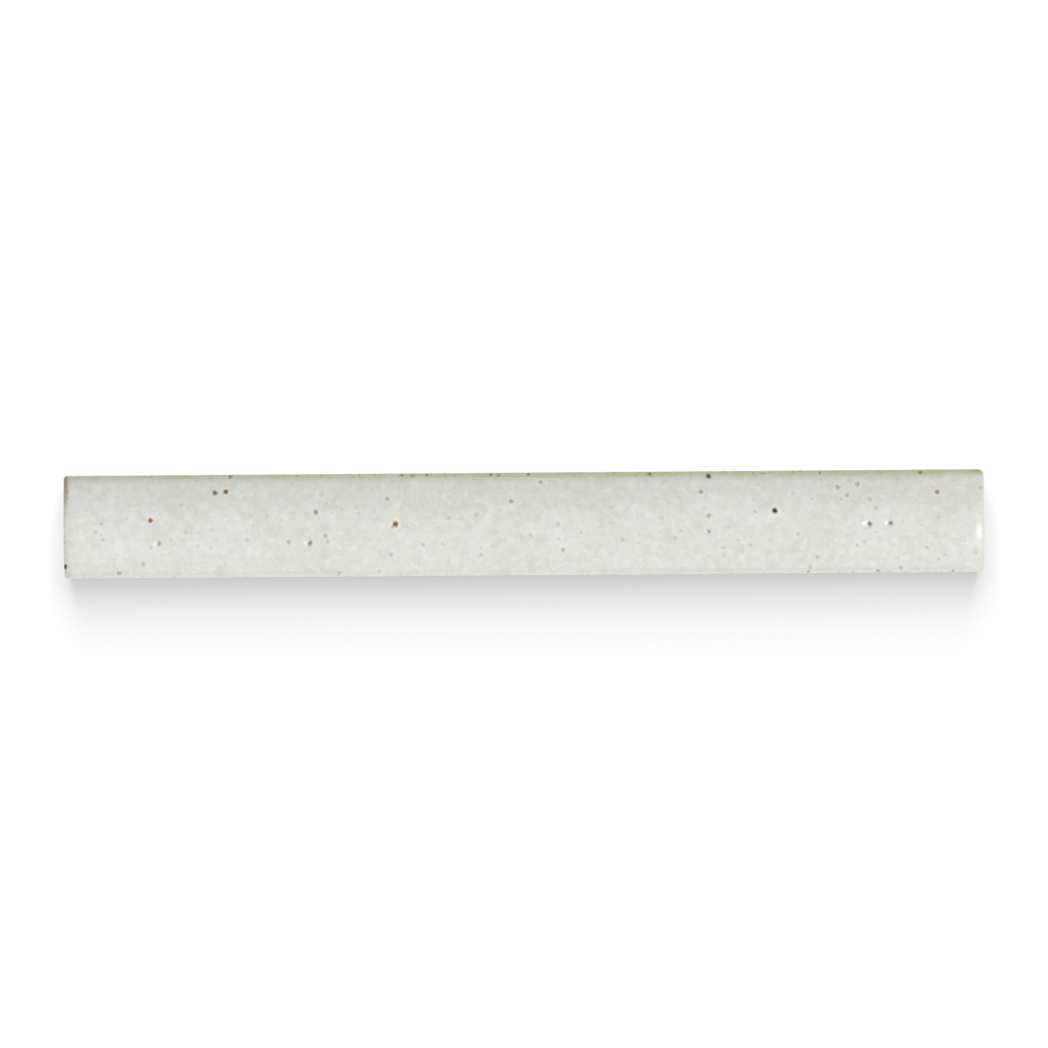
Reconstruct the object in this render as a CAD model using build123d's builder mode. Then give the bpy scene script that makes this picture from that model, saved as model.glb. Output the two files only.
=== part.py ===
"""Porcelain trim tile: a pressed liner bar with a crowned, glazed face and a keyed back.

The tile lies on its back, as it is laid out before it is set. X runs along its length, Y across
its width and Z up out of the face, and the origin is at the middle of the back.
"""

import os
from math import asin, degrees

from build123d import *

# Overall size, in millimetres
TILE_LENGTH = 152.0
TILE_WIDTH = 17.0
TILE_THICKNESS = 10.0

# Face: an arc across the width that rolls down towards both ends
CROWN_RISE = 1.5
END_ROLL_LENGTH = 4.0
END_ROLL_DROP = 0.5
RIM_RADIUS = 0.75
CORNER_RADIUS = 0.9

# Sides: upright above the die's parting line, drawn in below it
PARTING_HEIGHT = 5.0
SIDE_DRAFT = 2.5
BACK_CHAMFER = 0.5

# Back: blind lengthwise grooves that key into the adhesive
KEY_COUNT = 3
KEY_PITCH = 4.6
KEY_WIDTH = 2.6
KEY_DEPTH = 0.8
KEY_DRAFT = 15.0
KEY_END_LAND = 7.0

# Values that follow from the ones above
half_length = TILE_LENGTH / 2
half_width = TILE_WIDTH / 2
crown_radius = (half_width**2 + CROWN_RISE**2) / (2 * CROWN_RISE)
roll_radius = (END_ROLL_LENGTH**2 + END_ROLL_DROP**2) / (2 * END_ROLL_DROP)
roll_start = half_length - END_ROLL_LENGTH
void_overlap = TILE_WIDTH / 20
void_angle = degrees(asin((half_width + void_overlap) / crown_radius))
roll_angle = degrees(asin((END_ROLL_LENGTH + void_overlap) / roll_radius))
parting_plane = Plane.XY.offset(PARTING_HEIGHT)

with BuildPart() as trim_tile:
    # Cushion: the upright block above the parting line
    with BuildSketch(parting_plane) as outline:
        RectangleRounded(TILE_LENGTH, TILE_WIDTH, CORNER_RADIUS)
    extrude(amount=TILE_THICKNESS - PARTING_HEIGHT)

    # Crown: the space over the face is cut straight along the middle and turned down at each end
    with BuildSketch(Plane.YZ, mode=Mode.PRIVATE) as face_void:
        with BuildLine():
            crown = CenterArc(
                (0, TILE_THICKNESS - crown_radius), crown_radius, 90 - void_angle, 2 * void_angle
            )
            Polyline(
                crown @ 1,
                ((crown @ 1).X, TILE_THICKNESS + void_overlap),
                ((crown @ 0).X, TILE_THICKNESS + void_overlap),
                crown @ 0,
            )
        make_face()
    extrude(face_void.sketch, amount=roll_start, both=True, mode=Mode.SUBTRACT)
    for end in (-1, 1):
        roll_axis = Axis((end * roll_start, 0, TILE_THICKNESS - roll_radius), (0, end, 0))
        revolve(
            face_void.sketch.moved(Location((end * roll_start, 0, 0))),
            axis=roll_axis,
            revolution_arc=roll_angle,
            mode=Mode.SUBTRACT,
        )

    # Rim: rounded all the way round, where the patches of the face meet the upright sides
    upright_sides, face_patches = faces().group_by(lambda face: round(face.normal_at().Z))[1:]
    fillet(face_patches.edges() & upright_sides.edges(), RIM_RADIUS)

    # Sides below the parting line, drawn in so that the tile leaves the die, with an eased arris
    extrude(outline.sketch, amount=-PARTING_HEIGHT, taper=SIDE_DRAFT)
    chamfer(faces().sort_by(Axis.Z)[0].outer_wire().edges(), BACK_CHAMFER)

    # Back: keying grooves
    with BuildSketch(Plane.XY):
        with GridLocations(0, KEY_PITCH, 1, KEY_COUNT):
            SlotOverall(TILE_LENGTH - 2 * KEY_END_LAND, KEY_WIDTH)
    extrude(amount=KEY_DEPTH, taper=KEY_DRAFT, mode=Mode.SUBTRACT)

trim_tile.part.label = "trim_tile"
os.makedirs("parts", exist_ok=True)
export_step(trim_tile.part, "parts/trim_tile.step")
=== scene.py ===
"""Looks of the porcelain trim tile: a speckled off-white glaze over a bare pressed body."""

from math import atan, cos, pi, radians, sin, sqrt, tan

import bmesh
import bpy
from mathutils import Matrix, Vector, noise


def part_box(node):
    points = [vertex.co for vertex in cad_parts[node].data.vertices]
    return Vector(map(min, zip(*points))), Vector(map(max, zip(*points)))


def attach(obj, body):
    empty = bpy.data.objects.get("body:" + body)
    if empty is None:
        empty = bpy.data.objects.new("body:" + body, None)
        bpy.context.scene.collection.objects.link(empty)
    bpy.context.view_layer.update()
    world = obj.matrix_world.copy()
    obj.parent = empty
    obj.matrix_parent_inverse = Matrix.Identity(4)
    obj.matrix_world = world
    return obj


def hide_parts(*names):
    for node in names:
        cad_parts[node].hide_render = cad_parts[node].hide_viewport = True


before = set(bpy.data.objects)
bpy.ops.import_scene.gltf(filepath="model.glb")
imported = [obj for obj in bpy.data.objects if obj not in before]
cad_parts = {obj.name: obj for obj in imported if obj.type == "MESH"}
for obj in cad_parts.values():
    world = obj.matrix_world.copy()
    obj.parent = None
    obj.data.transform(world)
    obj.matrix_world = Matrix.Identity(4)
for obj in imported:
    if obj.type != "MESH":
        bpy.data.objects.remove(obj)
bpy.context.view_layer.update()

MM = 0.001

# Tile as pressed: its overall size comes from the frame
TILE_NODE = "trim_tile"
tile_low, tile_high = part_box(TILE_NODE)
half_length = (tile_high.x - tile_low.x) / 2
half_width = (tile_high.y - tile_low.y) / 2
thickness = tile_high.z - tile_low.z
CROWN_RISE = 1.5 * MM
END_ROLL_LENGTH = 4.0 * MM
END_ROLL_DROP = 0.5 * MM
LEFT_CORNER = 0.48 * MM
RIGHT_CORNER = 0.9 * MM
RIM_WIDTH = 0.4 * MM
SHOULDER_WIDTH = 1.8 * MM
SHOULDER_DROP = 0.14 * MM
PARTING_HEIGHT = 5.0 * MM
SIDE_DRAFT = radians(2.5)
BACK_CHAMFER = 0.5 * MM
SHARPEST_CORNER = 0.1 * MM
KEY_COUNT = 3
KEY_PITCH = 4.6 * MM
KEY_WIDTH = 2.6 * MM
KEY_DEPTH = 0.8 * MM
KEY_DRAFT = radians(15)
KEY_END_LAND = 7.0 * MM

# Mesh: steps along, across and round the tile
FACE_STEP = 0.25 * MM
CORNER_STEPS = 4
RIM_STEPS = 8
GLAZED_SIDE_STEPS = 6
BEAD_STEPS = 6
BARE_SIDE_STEPS = 7
KEY_END_STEPS = 24
PIT_CUTS = 3
SHARP_ANGLE = radians(32)
SLOPE_STEP = 0.01 * MM

# Glaze as fired: slow waves, orange peel, and the bead where it stops on the sides
WAVE_SPAN = 9.0 * MM
WAVE_HEIGHT = 0.03 * MM
PEEL_SPAN = 1.3 * MM
PEEL_HEIGHT = 0.006 * MM
GLAZE_THICKNESS = 0.12 * MM
GLAZE_LINE = 3.6 * MM
GLAZE_LINE_DRIFT = 0.6 * MM
GLAZE_LINE_SPAN = 11.0 * MM
GLAZE_LINE_FRET = 0.16 * MM
GLAZE_FRET_SPAN = 2.2 * MM
BEAD_HEIGHT = 0.7 * MM
BEAD_BULGE = 0.07 * MM
BARE_RELIEF_SPAN = 0.8 * MM
BARE_RELIEF = 0.025 * MM

# Pinholes: along, across and radius of the dish, in millimetres, painted highlight's strength, painted
# shade's strength
PINHOLES = (
    (56.7, -0.4, 0.95, 1.00, 1.00),
    (60.2, -0.3, 0.85, 0.85, 1.00),
    (-35.6, -2.9, 0.85, 0.70, 1.00),
    (-60.5, -2.8, 0.80, 0.95, 0.70),
    (30.3, -1.5, 0.60, 0.40, 0.70),
)
# A pinhole's dish, its painted highlight and its painted shade, as shares of that radius
DISH_DEPTH = 0.22
PAINTED_GLINT_RADIUS = 0.66
PAINTED_GLINT_SHIFT = 0.38
PAINTED_SHADE_RADIUS = 0.54
PAINTED_SHADE_SHIFT = 0.30
PIT_REACH = 1.2
# Colours of that painted highlight and painted shade on a screen
PAINTED_GLINT_SHADE = (253, 253, 250)
PAINTED_PIT_SHADE = (126, 125, 119)

# Iron specks: along, across, radius, in millimetres, and how each fired
IRON_SPECKS = (
    (-49.2, 5.7, 0.50, "brown"),
    (-21.6, -0.3, 0.40, "ochre"),
    (-21.2, 0.1, 0.54, "rust"),
    (-61.6, 1.0, 0.48, "ochre"),
    (68.2, 4.8, 0.46, "umber"),
    (30.4, 1.1, 0.40, "tan"),
    (-50.9, 5.5, 0.50, "iron_grey"),
    (41.4, 1.9, 0.56, "black"),
    (-75.9, -6.5, 0.54, "soot"),
    (30.5, 7.7, 0.52, "olive"),
    (20.8, 8.1, 0.52, "moss"),
    (-48.4, 8.2, 0.42, "moss"),
    (-20.1, 8.2, 0.40, "moss"),
    (-18.4, 8.1, 0.48, "tan"),
    (-16.0, 8.2, 0.38, "moss"),
    (-5.4, 8.2, 0.34, "moss"),
    (-4.2, 8.1, 0.46, "tan"),
    (0.8, 8.2, 0.38, "moss"),
    (48.9, 8.1, 0.26, "moss"),
    (65.5, 8.0, 0.44, "moss"),
    (46.9, -8.2, 0.34, "tan"),
    (58.4, -8.2, 0.36, "tan"),
    (70.8, -8.2, 0.34, "tan"),
)
# Grey specks under the glaze: along, across, radius, in millimetres, and strength
GREY_SPECKS = (
    (-34.3, 2.2, 0.52, 1.00),
    (-22.5, 4.3, 0.46, 0.60),
    (-2.1, 3.8, 0.50, 0.70),
    (2.8, 6.9, 0.46, 0.70),
    (29.2, 5.1, 0.50, 0.70),
    (6.4, -4.3, 0.50, 0.65),
    (51.8, 5.7, 0.50, 0.62),
    (53.3, 4.4, 0.46, 0.48),
    (55.1, 6.1, 0.48, 0.58),
    (57.1, 3.6, 0.44, 0.45),
    (58.1, 2.2, 0.42, 0.40),
    (38.1, 1.7, 0.40, 0.35),
    (-62.9, -6.1, 0.48, 0.48),
    (-66.9, -7.6, 0.48, 0.65),
    (-38.8, -2.7, 0.46, 0.55),
    (62.1, -7.7, 0.46, 0.48),
    (66.4, -4.4, 0.44, 0.45),
    (47.1, -7.5, 0.44, 0.38),
    (-70.7, -0.8, 0.46, 0.36),
    (-69.5, -2.1, 0.44, 0.33),
    (-69.8, 0.5, 0.40, 0.30),
    (-32.7, -1.7, 0.46, 0.48),
    (-32.4, -2.7, 0.44, 0.33),
    (-27.2, 1.9, 0.40, 0.25),
    (-16.7, -3.3, 0.46, 0.38),
    (-12.4, 1.1, 0.42, 0.28),
    (-13.5, -3.2, 0.40, 0.25),
    (-22.0, -4.9, 0.46, 0.36),
    (-23.9, -7.6, 0.42, 0.34),
    (-30.5, -7.9, 0.44, 0.40),
    (-7.1, -5.1, 0.44, 0.33),
    (-7.9, 1.6, 0.44, 0.30),
    (1.0, -1.8, 0.44, 0.40),
    (9.4, -1.5, 0.42, 0.30),
    (14.5, 2.6, 0.40, 0.25),
    (16.2, -2.7, 0.44, 0.30),
    (24.9, -2.5, 0.44, 0.30),
    (25.8, -1.3, 0.40, 0.26),
    (37.3, -3.7, 0.42, 0.28),
    (35.2, -2.9, 0.40, 0.25),
    (32.9, -4.2, 0.44, 0.32),
    (32.9, -5.5, 0.42, 0.28),
    (48.4, -5.8, 0.46, 0.40),
    (45.2, -2.0, 0.44, 0.30),
    (56.1, -3.4, 0.40, 0.28),
    (54.9, -3.8, 0.38, 0.24),
    (69.3, -5.6, 0.40, 0.28),
    (68.4, -6.3, 0.38, 0.24),
    (68.3, 0.5, 0.40, 0.22),
    (74.5, -5.2, 0.42, 0.28),
    (75.4, 5.5, 0.40, 0.35),
    (-45.7, -2.3, 0.50, 0.34),
    (-42.3, 1.7, 0.42, 0.26),
    (-53.8, -3.2, 0.40, 0.24),
    (-58.3, -2.2, 0.40, 0.26),
    (-55.8, -0.9, 0.46, 0.24),
    (-51.5, -0.7, 0.40, 0.20),
    (-56.6, 3.6, 0.50, 0.22),
)
# Colours of the grey specks and of their halo on a screen, and the halo's strength
GREY_SHADE = (116, 116, 104)
GREY_HALO_SHADE = (238, 239, 233)
GREY_HALO_STRENGTH = 0.4
# How iron fires: colours of the speck and its halo on a screen, the halo's strength, the speck's edge
IRON_FINISHES = {
    "rust": ((116, 72, 32), (253, 236, 214), 0.60, "Core"),
    "brown": ((112, 90, 62), (250, 236, 216), 0.50, "Core"),
    "ochre": ((136, 104, 62), (250, 236, 216), 0.50, "Core"),
    "umber": ((148, 138, 122), (242, 222, 204), 0.45, "Core"),
    "iron_grey": ((104, 99, 84), (234, 230, 220), 0.40, "Core"),
    "black": ((34, 22, 10), (246, 240, 230), 0.45, "Core"),
    "soot": ((72, 62, 52), (236, 228, 218), 0.30, "Core"),
    "olive": ((96, 92, 58), (204, 204, 176), 0.20, "Core"),
    "moss": ((114, 111, 82), (206, 206, 180), 0.20, "Blur"),
    "tan": ((164, 152, 132), (232, 226, 216), 0.20, "Blur"),
}

# How far the specks' outlines stray, in millimetres, and how often in each millimetre
SPECK_SWAY = 0.65
SPECK_SWAY_SCALE = 2.2

# Where the glaze thins, below the crown's level, and where it pools on the sides, in millimetres
ARRIS_FOOT = 1.7
ARRIS_TOP = 0.8
POOL_TOP = 5.4
POOL_FOOT = 4.0

# Surfaces: lowest and highest roughness, and how strong and how deep the grain is
GLAZE_ROUGHNESS = (0.14, 0.26)
GLAZE_GRAIN = 0.35
GLAZE_GRAIN_DEPTH = 0.012 * MM
BODY_ROUGHNESS = (0.72, 0.92)
BODY_GRAIN = 0.5
BODY_GRAIN_DEPTH = 0.05 * MM

# Floor: its reach each way in metres, gap below the tile, colour on a screen, and roughness
FLOOR_REACH = 3.0
FLOOR_GAP = 0.02 * MM
FLOOR_SHADE = (243, 243, 243)
FLOOR_ROUGHNESS = 0.9

# Camera: straight above, turned until the tile lies as it does in the photo
LENS = 280.0
SENSOR = 36.0
FRAME_WIDTH = 173.1 * MM
TILE_SLANT = radians(0.43)

# Lights on the tile: place and size in metres, and glow, where white glows at 1
TILE_LIGHTS = (
    ("overhead", (0.0, -0.12, 0.9), (1.6, 1.4), 0.27),
    ("overhead_near", (0.0, -0.19, 0.9), (0.36, 0.35), 0.70),
    ("overhead_mid", (0.0, -0.19, 0.9), (0.46, 0.65), 0.70),
    ("overhead_far", (0.0, -0.19, 0.9), (0.56, 0.95), 0.70),
    ("right_box", (0.59, -0.13, 0.78), (0.13, 0.17), 15.0),
    ("right_glow", (0.59, -0.13, 0.78), (0.5, 0.6), 1.06),
    ("left_box", (-0.50, -0.12, 0.83), (0.8, 0.8), 0.95),
    ("front_strip", (0.1, -0.75, 0.55), (0.9, 0.1), 4.6),
    ("left_strip", (-0.75, -0.05, 0.55), (0.4, 0.1), 3.0),
    ("right_strip", (0.80, -0.05, 0.45), (0.4, 0.12), 7.0),
    ("back_fill", (0.0, 0.75, 0.5), (1.0, 0.6), 0.15),
)
# Lights on the floor: a wide one behind the tile for the soft shadow, and a high one that lifts it
FLOOR_LIGHT_PLACE = (0.0, 0.92, 1.31)
FLOOR_LIGHT_SIZE = (1.16, 2.24)
FLOOR_LIGHT_GLOW = 3.14
FLOOR_SUN_GLOW = 0.36
FLOOR_SUN_ANGLE = radians(2)
SURROUND_GLOW = 0.22

# Values that follow from the ones above
crown_radius = (half_width**2 + CROWN_RISE**2) / (2 * CROWN_RISE)
roll_radius = (END_ROLL_LENGTH**2 + END_ROLL_DROP**2) / (2 * END_ROLL_DROP)
roll_start = half_length - END_ROLL_LENGTH


# Shape of the tile

def held(value, limit):
    """The value, kept between minus and plus the limit."""
    return max(-limit, min(limit, value))


def corner_at(x):
    """Radius of the outline's corners at that end of the tile."""
    return LEFT_CORNER if x < 0 else RIGHT_CORNER


def outward(place):
    """The outline's point nearest to a place close to it, and the direction out of the tile there."""
    corner = corner_at(place.x)
    core = Vector((held(place.x, half_length - corner), held(place.y, half_width - corner)))
    away = (place.to_2d() - core).normalized()
    return core + away * corner, away


def depth_in(place):
    """How far a place on the plan lies inside the outline."""
    corner = corner_at(place.x)
    past_x = abs(place.x) - half_length + corner
    past_y = abs(place.y) - half_width + corner
    if past_x <= 0 or past_y <= 0:
        return corner - max(past_x, past_y)
    return corner - sqrt(past_x**2 + past_y**2)


def pressed_height(place):
    """Height of the pressed face: the crown, rolled down at the ends, eased at the shoulders."""
    crown_drop = crown_radius - sqrt(crown_radius**2 - place.y**2)
    past_roll = max(0.0, abs(place.x) - roll_start)
    rolled = sqrt((roll_radius - crown_drop) ** 2 - past_roll**2)
    near_edge = max(0.0, 1 - depth_in(place) / SHOULDER_WIDTH)
    return thickness - roll_radius + rolled - SHOULDER_DROP * near_edge**2


def pit_relief(place):
    """Depth of the pinholes: small round dishes in the glaze."""
    relief = 0.0
    for along, across, radius, *_ in PINHOLES:
        centre = Vector((along, across)) * MM
        share = min(1.0, (place.to_2d() - centre).length / (radius * MM))
        relief -= DISH_DEPTH * radius * MM * (1 - share**2) ** 2
    return relief


def glaze_relief(place):
    """How far the fired glaze stands above or below the pressed face."""
    flat = Vector((place.x, place.y, 0))
    waves = noise.noise(flat / WAVE_SPAN) * WAVE_HEIGHT
    peel = noise.noise(flat / PEEL_SPAN) * PEEL_HEIGHT
    return waves + peel + pit_relief(place)


def grid_line(step, steps, low, high, low_corner, high_corner):
    """Where a line of the face's grid lies: close set in the corners, evenly between them."""
    low_fine = low_corner - RIM_WIDTH
    high_fine = high_corner - RIM_WIDTH
    if step < CORNER_STEPS:
        return low + low_fine * step / CORNER_STEPS
    if step > steps - CORNER_STEPS:
        return high - high_fine * (steps - step) / CORNER_STEPS
    share = (step - CORNER_STEPS) / (steps - 2 * CORNER_STEPS)
    return low + low_fine + (high - high_fine - low - low_fine) * share


def rounded(x, y):
    """Draws the square corners of the face's grid in to round ones."""
    inner = corner_at(x) - RIM_WIDTH
    past_x = max(0.0, abs(x) - half_length + corner_at(x))
    past_y = max(0.0, abs(y) - half_width + corner_at(x))
    pull_x = past_x * (1 - sqrt(1 - (past_y / inner) ** 2 / 2))
    pull_y = past_y * (1 - sqrt(1 - (past_x / inner) ** 2 / 2))
    return Vector((x - pull_x if x > 0 else x + pull_x, y - pull_y if y > 0 else y + pull_y, 0))


def face_grid(mesh):
    """The face inside its rim: a grid, round at the corners, finer at the pinholes, raised to shape."""
    columns = 2 * CORNER_STEPS + round(2 * half_length / FACE_STEP)
    rows = 2 * CORNER_STEPS + round(2 * half_width / FACE_STEP)
    end = half_length - RIM_WIDTH
    side = half_width - RIM_WIDTH
    bmesh.ops.create_grid(mesh, x_segments=columns, y_segments=rows, size=1)
    for vert in mesh.verts:
        column = round((vert.co.x + 1) / 2 * columns)
        row = round((vert.co.y + 1) / 2 * rows)
        x = grid_line(column, columns, -end, end, LEFT_CORNER, RIGHT_CORNER)
        y = grid_line(row, rows, -side, side, RIGHT_CORNER, RIGHT_CORNER)
        vert.co = rounded(x, y)
    for along, across, radius, *_ in PINHOLES:
        centre = Vector((along, across, 0)) * MM
        reach = radius * PIT_REACH * MM
        near = [face for face in mesh.faces if (face.calc_center_median() - centre).length < reach]
        edges = list({edge for face in near for edge in face.edges})
        bmesh.ops.subdivide_edges(mesh, edges=edges, cuts=PIT_CUTS, use_grid_fill=True)
    for vert in mesh.verts:
        vert.co.z = pressed_height(vert.co) + glaze_relief(vert.co)


def rim_place(place, turn):
    """A place on the rounded rim: turn goes from 0, at the face, to 1, where the side is upright."""
    edge, away = outward(place)
    start = edge - away * RIM_WIDTH
    fall = pressed_height(start) - pressed_height(start + away * SLOPE_STEP)
    tilt = atan(fall / SLOPE_STEP)
    radius = RIM_WIDTH / (1 - sin(tilt))
    angle = tilt + (pi / 2 - tilt) * turn
    flat = start + away * radius * (sin(angle) - sin(tilt))
    drop = radius * (cos(tilt) - cos(angle))
    height = pressed_height(start) + glaze_relief(start) * (1 - turn) - drop
    return flat.to_3d() + Vector((0, 0, height))


def side_place(place, height, out=0.0):
    """A place on the side at that height, drawn in below the parting line."""
    edge, away = outward(place)
    corner = corner_at(place.x)
    inset = max(0.0, PARTING_HEIGHT - height) * tan(SIDE_DRAFT) - out
    radius = max(corner - inset, SHARPEST_CORNER)
    core = edge - away * corner
    core.x *= (half_length - inset - radius) / (half_length - corner)
    core.y *= (half_width - inset - radius) / (half_width - corner)
    return (core + away * radius).to_3d() + Vector((0, 0, height))


def glaze_line(place):
    """Height at which the glaze stops on the side: a slow drift with a small fret."""
    edge = outward(place)[0].to_3d()
    drift = noise.noise(edge / GLAZE_LINE_SPAN) * GLAZE_LINE_DRIFT
    fret = noise.noise(edge / GLAZE_FRET_SPAN) * GLAZE_LINE_FRET
    return GLAZE_LINE + drift + fret


def glazed_side_place(place, share):
    """A place on the glazed side, from the rim down to the top of the bead."""
    top = rim_place(place, 1).z
    foot = glaze_line(place) + BEAD_HEIGHT
    return side_place(place, top + (foot - top) * share)


def bead_place(place, share):
    """A place on the bead that the glaze gathered into, from its top down to the bare body."""
    height = glaze_line(place) + BEAD_HEIGHT * cos(share * pi / 2)
    return side_place(place, height, BEAD_BULGE * sin(pi * share) - GLAZE_THICKNESS * share**3)


def bare_side_place(place, share):
    """A place on the bare side, from the glaze down to the chamfer, slightly rough."""
    line = glaze_line(place)
    bare = side_place(place, line + (BACK_CHAMFER - line) * share, -GLAZE_THICKNESS)
    rough = noise.noise(bare / BARE_RELIEF_SPAN) * BARE_RELIEF
    return side_place(place, bare.z, rough - GLAZE_THICKNESS)


def add_ring(mesh, edges, place, share, material):
    """Extrudes the open edge by one ring and puts its corners where place says."""
    made = bmesh.ops.extrude_edge_only(mesh, edges=edges)["geom"]
    for part in made:
        if isinstance(part, bmesh.types.BMVert):
            part.co = place(part.co, share)
        elif isinstance(part, bmesh.types.BMFace):
            part.material_index = material
    return [part for part in made if isinstance(part, bmesh.types.BMEdge) and part.is_boundary]


def key_groove(mesh, across, material):
    """One blind keying groove in the back, with drafted walls. Returns its mouth's edges."""
    end_radius = KEY_WIDTH / 2
    reach = half_length - KEY_END_LAND - end_radius
    corners = bmesh.ops.create_circle(mesh, segments=KEY_END_STEPS, radius=end_radius)["verts"]
    for corner in corners:
        corner.co.x += reach if corner.co.x > 0 else -reach
        corner.co.y += across
    mouth = list({edge for corner in corners for edge in corner.link_edges})
    draw_in = 1 - KEY_DEPTH * tan(KEY_DRAFT) / end_radius

    def floor_place(place, share):
        end = reach if place.x > 0 else -reach
        return Vector((end + (place.x - end) * share, across + (place.y - across) * share, KEY_DEPTH))

    floor = add_ring(mesh, mouth, floor_place, draw_in, material)
    floor = [edge for edge in floor if all(corner.co.z > KEY_DEPTH / 2 for corner in edge.verts)]
    for face in bmesh.ops.contextual_create(mesh, geom=floor)["faces"]:
        face.material_index = material
    return mouth


def make_tile(glaze, body):
    """The whole tile in one closed mesh: glazed face, rim and sides, bare foot and keyed back."""
    glazed, bare = 0, 1
    mesh = bmesh.new()
    face_grid(mesh)
    edges = [edge for edge in mesh.edges if edge.is_boundary]
    for place, steps, material in (
        (rim_place, RIM_STEPS, glazed),
        (glazed_side_place, GLAZED_SIDE_STEPS, glazed),
        (bead_place, BEAD_STEPS, glazed),
        (bare_side_place, BARE_SIDE_STEPS, bare),
    ):
        for step in range(steps):
            edges = add_ring(mesh, edges, place, (step + 1) / steps, material)

    def foot_place(place, share):
        return side_place(place, 0.0, -GLAZE_THICKNESS - BACK_CHAMFER * share)

    edges = add_ring(mesh, edges, foot_place, 1, bare)
    first_key = -KEY_PITCH * (KEY_COUNT - 1) / 2
    for key in range(KEY_COUNT):
        edges += key_groove(mesh, first_key + key * KEY_PITCH, bare)
    filled = bmesh.ops.triangle_fill(mesh, edges=edges, use_beauty=True, normal=(0, 0, -1))["geom"]
    for part in filled:
        if isinstance(part, bmesh.types.BMFace):
            part.material_index = bare
    bmesh.ops.recalc_face_normals(mesh, faces=mesh.faces)
    data = bpy.data.meshes.new("glazed_tile")
    mesh.to_mesh(data)
    mesh.free()
    data.shade_smooth()
    data.set_sharp_from_angle(angle=SHARP_ANGLE)
    data.materials.append(glaze)
    data.materials.append(body)
    tile = bpy.data.objects.new("glazed_tile", data)
    bpy.context.scene.collection.objects.link(tile)
    return tile


# Helpers for materials

def paint(red, green, blue):
    """A colour given as it shows on a screen, from 0 to 255, as the linear one that a shader takes."""
    shown = [channel / 255 for channel in (red, green, blue)]
    linear = [c / 12.92 if c <= 0.04045 else ((c + 0.055) / 1.055) ** 2.4 for c in shown]
    return (*linear, 1.0)


def add(tree, kind, inputs=None, **settings):
    """Adds a node. An input given a socket is linked to it, and any other is set."""
    node = tree.nodes.new(kind)
    for name, value in settings.items():
        setattr(node, name, value)
    for key, value in (inputs or {}).items():
        if isinstance(value, bpy.types.NodeSocket):
            tree.links.new(value, node.inputs[key])
        else:
            node.inputs[key].default_value = value
    return node


def calc(tree, operation, *values):
    """One sum on numbers."""
    return add(tree, "ShaderNodeMath", dict(enumerate(values)), operation=operation).outputs[0]


def vector_calc(tree, operation, *values):
    """One sum on places."""
    return add(tree, "ShaderNodeVectorMath", dict(enumerate(values)), operation=operation).outputs[0]


def ramp(tree, value, low, high):
    """0 at low and 1 at high, smoothly between them."""
    inputs = {"Value": value, "From Min": low, "From Max": high}
    return add(tree, "ShaderNodeMapRange", inputs, interpolation_type="SMOOTHSTEP").outputs["Result"]


def tint(tree, share, under, over):
    """The colour under, covered by the colour over where share is 1."""
    mix = add(tree, "ShaderNodeMix", data_type="RGBA")
    for socket, value in zip((mix.inputs[0], mix.inputs[6], mix.inputs[7]), (share, under, over)):
        if isinstance(value, bpy.types.NodeSocket):
            tree.links.new(value, socket)
        else:
            socket.default_value = value
    return mix.outputs[2]


def cloud(tree, position, span, detail=2.0, offset=0.0):
    """Noise from 0 to 1 whose patches are about that many millimetres across."""
    moved = vector_calc(tree, "ADD", position, (offset, offset, offset))
    inputs = {"Vector": moved, "Scale": 1 / span, "Detail": detail}
    return add(tree, "ShaderNodeTexNoise", inputs).outputs["Fac"]


def new_group(name, inputs, outputs):
    """An empty shader group with those sockets. Returns the group, its inputs and its output node."""
    group = bpy.data.node_groups.new(name, "ShaderNodeTree")
    for title, kind in inputs.items():
        group.interface.new_socket(title, in_out="INPUT", socket_type=kind)
    for title, kind in outputs.items():
        group.interface.new_socket(title, in_out="OUTPUT", socket_type=kind)
    given = group.nodes.new("NodeGroupInput").outputs
    return group, given, group.nodes.new("NodeGroupOutput")


def new_material(name):
    """A material with its Principled shader, and the place on the tile in millimetres."""
    material = bpy.data.materials.new(name)
    material.use_nodes = True
    tree = material.node_tree
    shader = tree.nodes["Principled BSDF"]
    where = add(tree, "ShaderNodeTexCoord").outputs["Object"]
    position = vector_calc(tree, "SCALE", where)
    position.node.inputs["Scale"].default_value = 1 / MM
    return material, tree, shader, position


# Effects that the materials use more than once

def speck_group():
    """A speck at a given place: a firm core, the same speck blurred, and the halo round it."""
    group, given, result = new_group(
        "speck",
        {"Position": "NodeSocketVector", "Centre": "NodeSocketVector", "Radius": "NodeSocketFloat"},
        {"Core": "NodeSocketFloat", "Blur": "NodeSocketFloat", "Halo": "NodeSocketFloat"},
    )
    distance = add(
        group, "ShaderNodeVectorMath", {0: given["Position"], 1: given["Centre"]}, operation="DISTANCE"
    ).outputs["Value"]
    share = calc(group, "DIVIDE", distance, given["Radius"])
    for title, outer, inner in (("Core", 1.3, 0.35), ("Blur", 1.3, 0.1), ("Halo", 2.1, 1.1)):
        group.links.new(ramp(group, share, outer, inner), result.inputs[title])
    return group


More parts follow.
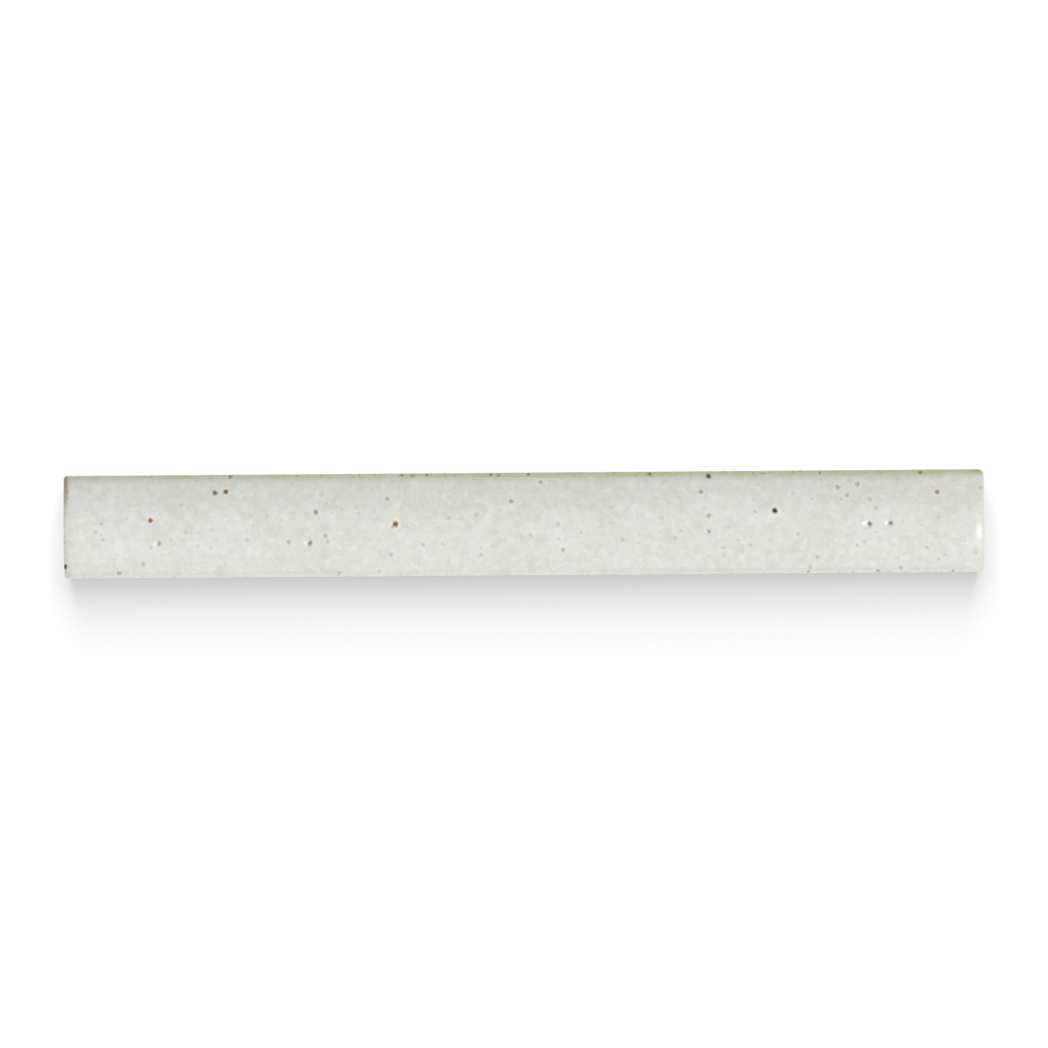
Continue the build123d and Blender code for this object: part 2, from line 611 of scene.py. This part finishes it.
def speckle_group():
    """Small specks strewn at random: only some cells of a pattern hold one, and their sizes differ."""
    group, given, result = new_group(
        "speckle",
        {
            "Position": "NodeSocketVector",
            "Spacing": "NodeSocketFloat",
            "Radius": "NodeSocketFloat",
            "Share": "NodeSocketFloat",
        },
        {"Specks": "NodeSocketFloat", "Halo": "NodeSocketFloat"},
    )
    shrink = calc(group, "DIVIDE", 1.0, given["Spacing"])
    cells = add(group, "ShaderNodeTexVoronoi", {"Vector": given["Position"], "Scale": shrink})
    chance = add(group, "ShaderNodeSeparateColor", {0: cells.outputs["Color"]})
    distance = calc(group, "MULTIPLY", cells.outputs["Distance"], given["Spacing"])
    radius = calc(group, "MULTIPLY", given["Radius"], calc(group, "ADD", chance.outputs["Green"], 0.5))
    share = calc(group, "DIVIDE", distance, radius)
    present = calc(group, "LESS_THAN", chance.outputs["Red"], given["Share"])
    depth = calc(group, "MULTIPLY_ADD", chance.outputs["Blue"], 0.7, 0.3)
    strength = calc(group, "MULTIPLY", present, depth)
    for title, outer, inner in (("Specks", 1.2, 0.4), ("Halo", 2.4, 1.0)):
        mask = calc(group, "MULTIPLY", ramp(group, share, outer, inner), strength)
        group.links.new(mask, result.inputs[title])
    return group


def clay_group(speckle):
    """The fired body: a warm pale grey, clouded, with fine iron grains and a rough skin."""
    group, given, result = new_group(
        "fired_clay",
        {"Position": "NodeSocketVector"},
        {"Colour": "NodeSocketColor", "Height": "NodeSocketFloat"},
    )
    position = given["Position"]
    clouds = ramp(group, cloud(group, position, 6.0, 4.0), 0.3, 0.7)
    colour = tint(group, clouds, paint(206, 199, 186), paint(222, 217, 206))
    for spacing, radius, share, iron in (
        (1.1, 0.12, 0.35, paint(150, 126, 100)),
        (3.4, 0.26, 0.30, paint(112, 84, 60)),
    ):
        inputs = {"Position": position, "Spacing": spacing, "Radius": radius, "Share": share}
        specks = add(group, "ShaderNodeGroup", inputs, node_tree=speckle)
        colour = tint(group, specks.outputs["Specks"], colour, iron)
    group.links.new(colour, result.inputs["Colour"])
    skin = calc(group, "ADD", cloud(group, position, 0.35, 3.0), cloud(group, position, 1.6, 2.0, 7.0))
    group.links.new(skin, result.inputs["Height"])
    return group


# Materials

def surface(tree, shader, gloss, roughness, height, grain, grain_depth):
    """Makes a shader as rough as gloss says, between two limits, with a grain of that height."""
    lowest, highest = roughness
    rough = add(tree, "ShaderNodeMapRange", {"Value": gloss, "To Min": lowest, "To Max": highest})
    tree.links.new(rough.outputs["Result"], shader.inputs["Roughness"])
    bump = add(tree, "ShaderNodeBump", {"Strength": grain, "Distance": grain_depth, "Height": height})
    tree.links.new(bump.outputs["Normal"], shader.inputs["Normal"])


def speck_at(tree, group, position, along, across, radius):
    """Puts the speck group at one place on the face."""
    centre = Vector((along, across, 0)) * MM
    centre.z = pressed_height(centre)
    inputs = {"Position": position, "Centre": centre / MM, "Radius": radius}
    return add(tree, "ShaderNodeGroup", inputs, node_tree=group).outputs


def glaze_ground(tree, position, ragged, speckle):
    """Colour of the glaze itself: slow clouds, mottling both ways, and fine specks strewn over it."""
    clouds = ramp(tree, cloud(tree, position, 9.0, 3.0), 0.3, 0.7)
    colour = tint(tree, clouds, paint(220, 222, 214), paint(226, 227, 221))
    for span, offset, low, high, strength, shade in (
        (1.9, 13.0, 0.45, 0.75, 0.45, paint(206, 208, 199)),
        (1.4, 47.0, 0.48, 0.75, 0.50, paint(238, 239, 234)),
        (0.8, 61.0, 0.54, 0.80, 0.45, paint(200, 202, 192)),
        (0.7, 83.0, 0.55, 0.80, 0.45, paint(242, 243, 238)),
    ):
        mottle = ramp(tree, cloud(tree, position, span, 2.0, offset), low, high)
        colour = tint(tree, calc(tree, "MULTIPLY", mottle, strength), colour, shade)
    for spacing, radius, share, strength in ((1.4, 0.22, 0.20, 0.30), (2.6, 0.40, 0.40, 0.35)):
        inputs = {"Position": ragged, "Spacing": spacing, "Radius": radius, "Share": share}
        strewn = add(tree, "ShaderNodeGroup", inputs, node_tree=speckle).outputs
        for title, shade in (("Halo", paint(240, 241, 235)), ("Specks", paint(140, 140, 128))):
            colour = tint(tree, calc(tree, "MULTIPLY", strewn[title], strength), colour, shade)
    return colour


def glaze_rim(tree, position, ragged, colour, clay):
    """Colour where the glaze thins over the rim: olive at the back, buff at the left, else rosy;
    painted shade darkens the back and front rims too.
    """
    body = add(tree, "ShaderNodeGroup", {"Position": position}, node_tree=clay).outputs["Colour"]
    sides = add(tree, "ShaderNodeSeparateXYZ", {0: ragged}).outputs
    far = half_width / MM
    end = half_length / MM
    across_squared = calc(tree, "MULTIPLY", sides["Y"], sides["Y"])
    level = calc(tree, "MULTIPLY_ADD", across_squared, MM / (2 * crown_radius), sides["Z"])
    arris = ramp(tree, level, thickness / MM - ARRIS_FOOT, thickness / MM - ARRIS_TOP)
    patches = ramp(tree, cloud(tree, position, 2.8, 3.0, 41.0), 0.38, 0.62)
    patchy = calc(tree, "MULTIPLY", arris, calc(tree, "MULTIPLY_ADD", patches, 0.65, 0.35))
    deepens = calc(tree, "MULTIPLY_ADD", ramp(tree, sides["X"], -end, end), 0.40, 0.20)
    olive = calc(tree, "MULTIPLY", arris, calc(tree, "MULTIPLY_ADD", patches, 0.45, deepens))
    burnt = calc(tree, "MULTIPLY", arris, ramp(tree, sides["Y"], 1.0, far - 1.0))
    corner = calc(tree, "MULTIPLY", arris, ramp(tree, sides["X"], end - 3.0, end - 0.5))
    dots = calc(tree, "MULTIPLY", arris, ramp(tree, cloud(tree, position, 0.7, 2.0, 19.0), 0.60, 0.70))
    for axis, low, high, where, strength, shade in (
        # Grey-green over the back rim: partly the thin glaze's own tint, partly painted shade
        ("Y", far - 2.0, far - 0.3, arris, 0.45, paint(196, 199, 182)),
        ("Y", far - 1.10, far - 0.60, olive, 0.85, paint(197, 198, 156)),
        ("Y", far - 0.70, far - 0.20, dots, 0.70, paint(128, 122, 86)),
        ("Y", far - 0.90, far - 0.20, corner, 0.55, paint(180, 166, 144)),
        ("X", 1.00 - end, 0.35 - end, patchy, 0.75, tint(tree, 0.5, body, paint(218, 204, 180))),
        ("X", 1.20 - end, 0.25 - end, burnt, 0.85, paint(148, 136, 118)),
        ("X", 0.50 - end, 0.15 - end, dots, 0.75, paint(122, 104, 84)),
        # Painted shade: a grey-pink darkening along the front rim
        ("Y", 1.20 - far, 0.40 - far, arris, 0.35, paint(208, 204, 197)),
        ("Y", 0.45 - far, 0.20 - far, patchy, 0.85, paint(240, 228, 221)),
        ("Y", 0.60 - far, 0.25 - far, dots, 0.50, paint(190, 168, 152)),
        ("X", end - 0.60, end - 0.15, patchy, 0.60, paint(238, 224, 214)),
    ):
        mask = calc(tree, "MULTIPLY", ramp(tree, sides[axis], low, high), where)
        colour = tint(tree, calc(tree, "MULTIPLY", mask, strength), colour, shade)
    pooled = calc(tree, "MULTIPLY", ramp(tree, sides["Z"], POOL_TOP, POOL_FOOT), 0.5)
    return tint(tree, pooled, colour, paint(204, 208, 196))


def glaze_specks(tree, ragged, colour, speck):
    """The placed specks over the glaze: grey ones, iron with its halo, and at the pinholes a painted
    highlight on the left and painted shade on the right.
    """
    for along, across, radius, strength in GREY_SPECKS:
        found = speck_at(tree, speck, ragged, along, across, radius)
        halo = calc(tree, "MULTIPLY", found["Halo"], GREY_HALO_STRENGTH * strength)
        colour = tint(tree, halo, colour, paint(*GREY_HALO_SHADE))
        colour = tint(tree, calc(tree, "MULTIPLY", found["Blur"], strength), colour, paint(*GREY_SHADE))
    for along, across, radius, finish in IRON_SPECKS:
        core_shade, halo_shade, halo_strength, edge = IRON_FINISHES[finish]
        found = speck_at(tree, speck, ragged, along, across, radius)
        halo = calc(tree, "MULTIPLY", found["Halo"], halo_strength)
        colour = tint(tree, halo, colour, paint(*halo_shade))
        colour = tint(tree, found[edge], colour, paint(*core_shade))
    for along, across, radius, painted_glint_strength, painted_shade_strength in PINHOLES:
        # Painted highlight on the pinhole's left side, standing in for the right-hand lamp's glint, and
        # painted shade on its right
        glint_spot = speck_at(tree, speck, ragged, along - PAINTED_GLINT_SHIFT * radius, across, PAINTED_GLINT_RADIUS * radius)
        white = calc(tree, "MULTIPLY", glint_spot["Blur"], painted_glint_strength)
        colour = tint(tree, white, colour, paint(*PAINTED_GLINT_SHADE))
        dark = speck_at(tree, speck, ragged, along + PAINTED_SHADE_SHIFT * radius, across, PAINTED_SHADE_RADIUS * radius)
        painted_shade = calc(tree, "MULTIPLY", dark["Core"], painted_shade_strength)
        colour = tint(tree, painted_shade, colour, paint(*PAINTED_PIT_SHADE))
    return colour


def glaze_material(speck, speckle, clay):
    """Speckled off-white glaze, mottled and glossy, thin enough at the rim to show the body."""
    material, tree, shader, position = new_material("speckled_glaze")
    inputs = {"Vector": position, "Scale": SPECK_SWAY_SCALE, "Detail": 2.0}
    spread = add(tree, "ShaderNodeTexNoise", inputs)
    sway = vector_calc(tree, "SUBTRACT", spread.outputs["Color"], (0.5, 0.5, 0.5))
    ragged = vector_calc(tree, "MULTIPLY_ADD", sway, (SPECK_SWAY, SPECK_SWAY, SPECK_SWAY), position)
    colour = glaze_ground(tree, position, ragged, speckle)
    colour = glaze_rim(tree, position, ragged, colour, clay)
    colour = glaze_specks(tree, ragged, colour, speck)
    tree.links.new(colour, shader.inputs["Base Color"])
    gloss = cloud(tree, position, 3.0, 3.0, 29.0)
    peel = calc(tree, "ADD", cloud(tree, position, 0.9, 2.0, 3.0), cloud(tree, position, 0.3, 1.0, 5.0))
    surface(tree, shader, gloss, GLAZE_ROUGHNESS, peel, GLAZE_GRAIN, GLAZE_GRAIN_DEPTH)
    return material


def body_material(clay):
    """Bare fired porcelain, matt and finely pitted."""
    material, tree, shader, position = new_material("bare_body")
    fired = add(tree, "ShaderNodeGroup", {"Position": position}, node_tree=clay)
    tree.links.new(fired.outputs["Colour"], shader.inputs["Base Color"])
    gloss = cloud(tree, position, 2.0, 3.0, 17.0)
    surface(tree, shader, gloss, BODY_ROUGHNESS, fired.outputs["Height"], BODY_GRAIN, BODY_GRAIN_DEPTH)
    return material


# Studio

def make_floor():
    """A plain pale floor under the tile."""
    mesh = bmesh.new()
    bmesh.ops.create_grid(mesh, x_segments=1, y_segments=1, size=FLOOR_REACH)
    bmesh.ops.translate(mesh, verts=mesh.verts, vec=(0, 0, tile_low.z - FLOOR_GAP))
    data = bpy.data.meshes.new("floor")
    mesh.to_mesh(data)
    mesh.free()
    floor = bpy.data.objects.new("floor", data)
    material = bpy.data.materials.new("pale_floor")
    material.use_nodes = True
    shader = material.node_tree.nodes["Principled BSDF"]
    shader.inputs["Base Color"].default_value = paint(*FLOOR_SHADE)
    shader.inputs["Roughness"].default_value = FLOOR_ROUGHNESS
    shader.inputs["Specular IOR Level"].default_value = 0.0
    data.materials.append(material)
    bpy.context.scene.collection.objects.link(floor)
    return floor


def light_only(lamp, name, piece):
    """Lets a lamp light that piece alone."""
    group = bpy.data.collections.get(name) or bpy.data.collections.new(name)
    if piece.name not in group.objects:
        group.objects.link(piece)
    lamp.light_linking.receiver_collection = group


def softbox(name, place, size, glow, piece):
    """A soft light that looks at the tile and shines on one piece alone. White glows at 1."""
    data = bpy.data.lights.new(name, "AREA")
    data.shape = "RECTANGLE"
    data.size, data.size_y = size
    data.energy = glow * pi * data.size * data.size_y
    lamp = bpy.data.objects.new(name, data)
    lamp.location = place
    lamp.rotation_euler = Vector(place).to_track_quat("Z", "Y").to_euler()
    lamp.visible_camera = False
    bpy.context.scene.collection.objects.link(lamp)
    light_only(lamp, f"{piece.name}_lit", piece)


def make_lights(tile, floor):
    """Soft light from above, strips that pick out the rim, a small box at the right, and a soft shadow.

    The floor takes no light back off the tile, which has lights of its own.
    """
    tile.visible_diffuse = False
    for name, place, size, glow in TILE_LIGHTS:
        softbox(name, place, size, glow, tile)
    softbox("floor_back", FLOOR_LIGHT_PLACE, FLOOR_LIGHT_SIZE, FLOOR_LIGHT_GLOW, floor)
    data = bpy.data.lights.new("floor_top", "SUN")
    data.energy = FLOOR_SUN_GLOW * pi
    data.angle = FLOOR_SUN_ANGLE
    lamp = bpy.data.objects.new("floor_top", data)
    bpy.context.scene.collection.objects.link(lamp)
    light_only(lamp, "floor_lit", floor)


def make_world():
    """A dim, even surround that shows as white behind the floor."""
    world = bpy.data.worlds.new("studio")
    world.use_nodes = True
    tree = world.node_tree
    surround = tree.nodes["Background"]
    seen = add(tree, "ShaderNodeLightPath").outputs["Is Camera Ray"]
    strength = add(tree, "ShaderNodeMapRange", {"Value": seen, "To Min": SURROUND_GLOW, "To Max": 1.0})
    tree.links.new(strength.outputs["Result"], surround.inputs["Strength"])
    surround.inputs["Color"].default_value = (1, 1, 1, 1)
    bpy.context.scene.world = world


def make_camera():
    """Straight above the middle of the tile, with the rim at the photo's scale."""
    data = bpy.data.cameras.new("camera")
    data.lens = LENS
    data.sensor_width = SENSOR
    camera = bpy.data.objects.new("camera", data)
    rim_height = rim_place(Vector((0, half_width, 0)), 1).z
    camera.location = (0, 0, rim_height + FRAME_WIDTH * LENS / SENSOR)
    camera.rotation_euler = (0, 0, -TILE_SLANT)
    bpy.context.scene.collection.objects.link(camera)
    bpy.context.scene.camera = camera


speck = speck_group()
speckle = speckle_group()
clay = clay_group(speckle)
tile = make_tile(glaze_material(speck, speckle, clay), body_material(clay))
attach(tile, "root")
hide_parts(TILE_NODE)
floor = make_floor()
make_lights(tile, floor)
make_world()
make_camera()
bpy.context.scene.view_settings.view_transform = "Standard"
